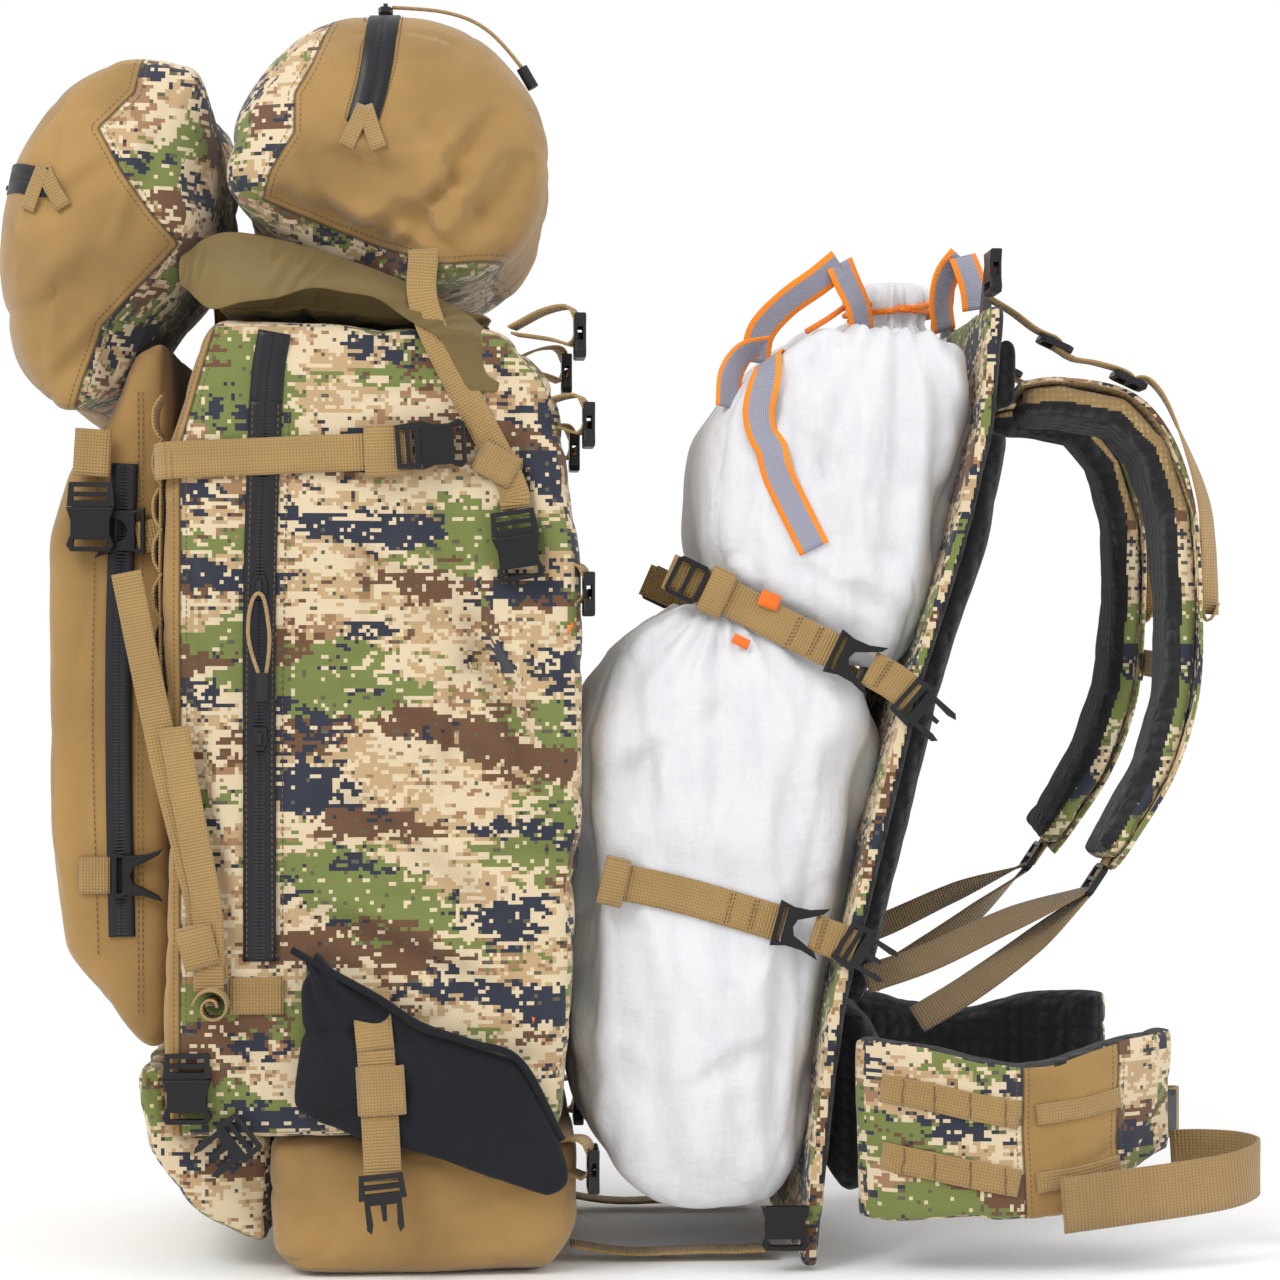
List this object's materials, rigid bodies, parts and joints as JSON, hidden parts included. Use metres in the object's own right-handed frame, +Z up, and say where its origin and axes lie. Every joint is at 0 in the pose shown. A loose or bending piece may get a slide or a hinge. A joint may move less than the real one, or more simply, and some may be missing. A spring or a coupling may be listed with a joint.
{
  "type": "hunting backpack",
  "caption": "Internal-frame hunting pack opened at its load shelf, with a game bag strapped between the stuffed main bag and the frame, padded harness and hip belt.",
  "frame": {"origin": "middle of the pack's outline on the ground", "axes": "+X the way the wearer faces, +Y to the wearer's left, +Z up"},
  "size_m": [0.866, 0.3872, 0.8713],
  "materials": {
    "camo_fabric": "woven digital camouflage",
    "brown_fabric": "plain coyote brown weave",
    "olive_fabric": "thin olive brown weave",
    "black_fabric": "stretch weave",
    "black_mesh": "padded mesh",
    "frame_fabric": "laminated camouflage weave",
    "white_fabric": "light ripstop cotton",
    "signal_webbing": "orange webbing with a grey reflective stripe",
    "webbing": "ribbed webbing",
    "belt_webbing": "ribbed wide webbing",
    "zip_tape": "coated zip tape",
    "zip_metal": "black slider",
    "pull_cord": "braided cord",
    "soft_plastic": "moulded end",
    "buckle_plastic": "fine moulded texture",
    "stay_metal": "brushed"
  },
  "bodies": {
    "pack": {"back_pad": "black_mesh", "bag_webbing": "webbing", "boot": "brown_fabric", "collar": "olive_fabric", "compression_sockets": "buckle_plastic", "frame_panel": "frame_fabric", "frame_stays": "stay_metal", "front_pocket": "brown_fabric", "game_bag_handles": "signal_webbing", "game_bag_lower": "white_fabric", "game_bag_neck": "white_fabric", "game_bag_upper": "white_fabric", "harness_webbing": "webbing", "ladder_locks": "buckle_plastic", "lid_front_sockets": "buckle_plastic", "lid_tail_webbing": "webbing", "load_webbing": "webbing", "lower_pouch": "camo_fabric", "lumbar_pad": "black_mesh", "main_bag": "camo_fabric", "shoulder_strap_far": "black_mesh", "shoulder_strap_near": "black_mesh", "side_pockets": "black_fabric", "split_bar_hooks": "buckle_plastic", "strap_plugs": "buckle_plastic", "strap_sockets": "buckle_plastic", "yoke_pad": "black_mesh", "zip_tapes": "zip_tape"},
    "lid": {"lid_front_lobe": "camo_fabric", "lid_top_lobe": "brown_fabric", "lid_zip_tapes": "zip_tape", "lid_webbing": "webbing", "lid_front_plugs": "buckle_plastic"},
    "lid_top_slider": {"lid_top_slider": "zip_metal", "lid_pull_cord": "pull_cord", "lid_pull_end": "soft_plastic"},
    "lid_front_slider": {"lid_front_slider": "zip_metal"},
    "side_slider_upper_near": {"side_slider_upper_near": "zip_metal", "side_pull_cord": "pull_cord", "side_pull_end": "soft_plastic"},
    "side_slider_upper_far": {"side_slider_upper_far": "zip_metal"},
    "side_slider_lower_near": {"side_slider_lower_near": "zip_metal"},
    "side_slider_lower_far": {"side_slider_lower_far": "zip_metal"},
    "front_slider_near": {"front_slider_near": "zip_metal"},
    "front_slider_far": {"front_slider_far": "zip_metal"},
    "compression_plug_near": {"compression_plug_near": "buckle_plastic"},
    "compression_plug_far": {"compression_plug_far": "buckle_plastic"},
    "pocket_strap_near": {"pocket_strap_near": "webbing"},
    "pocket_strap_far": {"pocket_strap_far": "webbing"},
    "sternum_strap": {"sternum_sliders": "buckle_plastic", "sternum_webbing": "webbing", "sternum_socket": "buckle_plastic", "sternum_plug": "buckle_plastic"},
    "belt_wing_near": {"belt_wing_near": "camo_fabric", "belt_webbing_near": "belt_webbing", "belt_socket": "buckle_plastic"},
    "belt_wing_far": {"belt_wing_far": "camo_fabric", "belt_webbing_far": "belt_webbing", "belt_plug": "buckle_plastic"}
  },
  "joints": [
    {"name": "lid_flip", "type": "hinge", "parent": "pack", "child": "lid", "pos_m": [-0.085, 0, 0.512], "axis": [0, 1, 0], "range_deg": [0, 30]},
    {"name": "lid_top_zip", "type": "slide", "parent": "lid", "child": "lid_top_slider", "axis": [0, 1, 0], "range_m": [-0.005, 0.185]},
    {"name": "lid_front_zip", "type": "slide", "parent": "lid", "child": "lid_front_slider", "axis": [0, 1, 0], "range_m": [-0.03, 0.16]},
    {"name": "side_zip_upper_near", "type": "slide", "parent": "pack", "child": "side_slider_upper_near", "axis": [0, 0, 1], "range_m": [0, 0.05]},
    {"name": "side_zip_lower_near", "type": "slide", "parent": "pack", "child": "side_slider_lower_near", "axis": [0, 0, -1], "range_m": [0, 0.13]},
    {"name": "front_zip_near", "type": "slide", "parent": "pack", "child": "front_slider_near", "axis": [0, 0, -1], "range_m": [0, 0.14]},
    {"name": "compression_release_near", "type": "slide", "parent": "pack", "child": "compression_plug_near", "axis": [-0.9976, 0, -0.0698], "range_m": [0, 0.024]},
    {"name": "side_zip_upper_far", "type": "slide", "parent": "pack", "child": "side_slider_upper_far", "axis": [0, 0, 1], "range_m": [0, 0.05]},
    {"name": "side_zip_lower_far", "type": "slide", "parent": "pack", "child": "side_slider_lower_far", "axis": [0, 0, -1], "range_m": [0, 0.13]},
    {"name": "front_zip_far", "type": "slide", "parent": "pack", "child": "front_slider_far", "axis": [0, 0, -1], "range_m": [0, 0.14]},
    {"name": "compression_release_far", "type": "slide", "parent": "pack", "child": "compression_plug_far", "axis": [-0.9976, 0, -0.0698], "range_m": [0, 0.024]},
    {"name": "pocket_strap_swing_near", "type": "hinge", "parent": "pack", "child": "pocket_strap_near", "pos_m": [-0.178, -0.186, 0.162], "axis": [-1, 0, 0], "range_deg": [0, 45]},
    {"name": "pocket_strap_swing_far", "type": "hinge", "parent": "pack", "child": "pocket_strap_far", "pos_m": [-0.178, 0.186, 0.162], "axis": [1, 0, 0], "range_deg": [0, 45]},
    {"name": "sternum_height", "type": "slide", "parent": "pack", "child": "sternum_strap", "axis": [0, 0, 1], "range_m": [-0.012, 0.012]},
    {"name": "belt_flex_near", "type": "hinge", "parent": "pack", "child": "belt_wing_near", "pos_m": [0.154, -0.132, 0.098], "axis": [0, 0, 1], "range_deg": [-8, 8]},
    {"name": "belt_flex_far", "type": "hinge", "parent": "pack", "child": "belt_wing_far", "pos_m": [0.154, 0.132, 0.098], "axis": [0, 0, 1], "range_deg": [-8, 8]}
  ]
}
